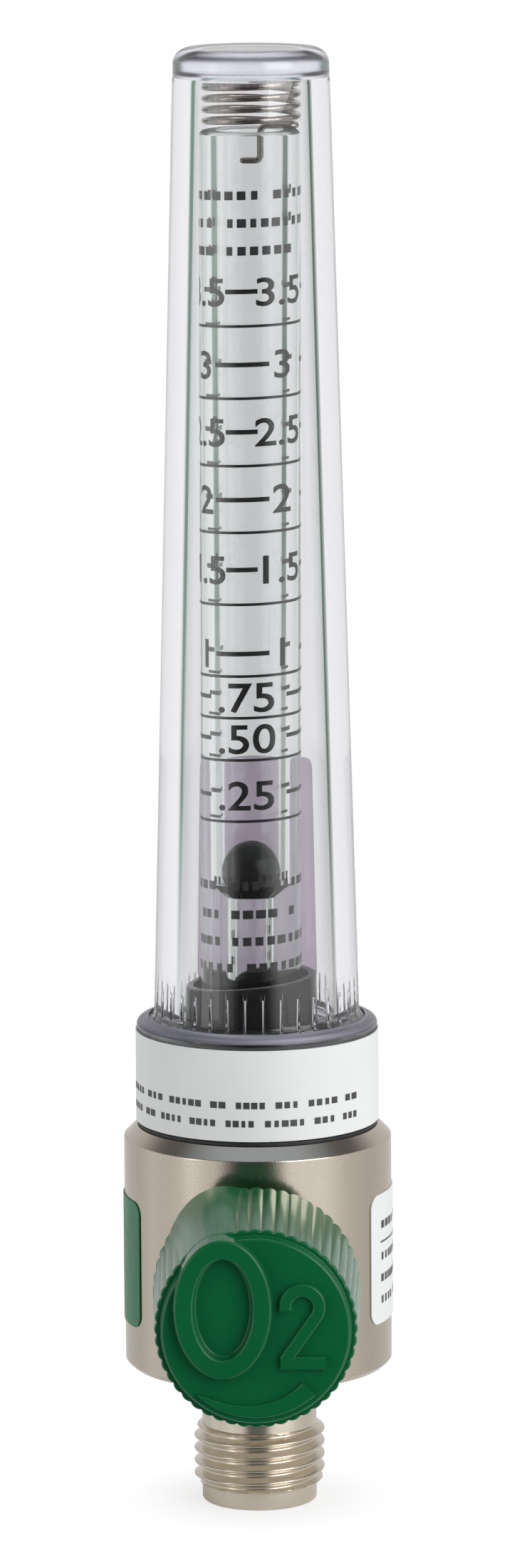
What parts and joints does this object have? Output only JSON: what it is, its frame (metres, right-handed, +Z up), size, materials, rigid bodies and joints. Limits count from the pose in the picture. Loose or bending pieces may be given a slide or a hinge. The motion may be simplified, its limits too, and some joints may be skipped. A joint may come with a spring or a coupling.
{
  "type": "oxygen flowmeter",
  "caption": "Clear tapered shroud over a graduated flow tube with a float ball, on a plated valve body with a green ribbed knob and a threaded outlet.",
  "frame": {"origin": "centre of the outlet's mouth, which is also the face that the part stands on", "axes": "+Z up along the flow tube, +Y to the rear along the inlet, the knob faces -Y"},
  "size_m": [0.0294, 0.0711, 0.1584],
  "materials": {
    "nickel_plated_brass": "satin",
    "bare_brass": "satin",
    "sintered_bronze": "matte",
    "green_plastic": "satin",
    "clear_cover": "gloss",
    "clear_tube": "gloss",
    "black_ball": "gloss",
    "spring_wire": "satin",
    "black_collar": "satin",
    "white_label": "satin",
    "green_label": "satin",
    "tinted_label": "satin",
    "black_rubber": "matte",
    "white_washer": "matte"
  },
  "bodies": {
    "meter": {"valve_body": "nickel_plated_brass", "outlet_fitting": "nickel_plated_brass", "inlet_nipple": "nickel_plated_brass", "valve_bonnet": "nickel_plated_brass", "inlet_filter": "sintered_bronze", "shroud": "clear_cover", "flow_tube": "clear_tube", "ball_stop_spring": "spring_wire", "tube_collar": "black_collar", "band_label": "white_label", "right_label": "white_label", "left_label": "green_label", "rear_label": "tinted_label", "outlet_ring": "black_rubber", "nose_ring": "black_rubber", "shroud_ring": "black_rubber", "shroud_gasket": "black_rubber", "tube_gasket": "black_rubber", "bonnet_washer": "white_washer"},
    "stem": {"needle_stem": "bare_brass", "stem_ring": "black_rubber"},
    "knob": {"knob": "green_plastic", "knob_insert": "bare_brass"},
    "float": {"float_ball": "black_ball"},
    "nut": {"inlet_nut": "nickel_plated_brass"}
  },
  "joints": [
    {"name": "stem_travel", "type": "slide", "parent": "meter", "child": "stem", "axis": [0, -1, 0], "range_m": [0, 0.001]},
    {"name": "knob_turn", "type": "hinge", "parent": "stem", "child": "knob", "pos_m": [0, -0.026, 0.0274], "axis": [0, -1, 0], "range_deg": [0, 450]},
    {"name": "float_rise", "type": "slide", "parent": "meter", "child": "float", "axis": [0, 0, 1], "range_m": [0, 0.0727]},
    {"name": "nut_spin", "type": "hinge", "parent": "meter", "child": "nut", "pos_m": [0, 0.026, 0.031], "axis": [0, 1, 0], "continuous": true}
  ],
  "couplings": [
    {"joint": "stem_travel", "follows": "knob_turn", "m_per_rad": 0.0001273}
  ]
}
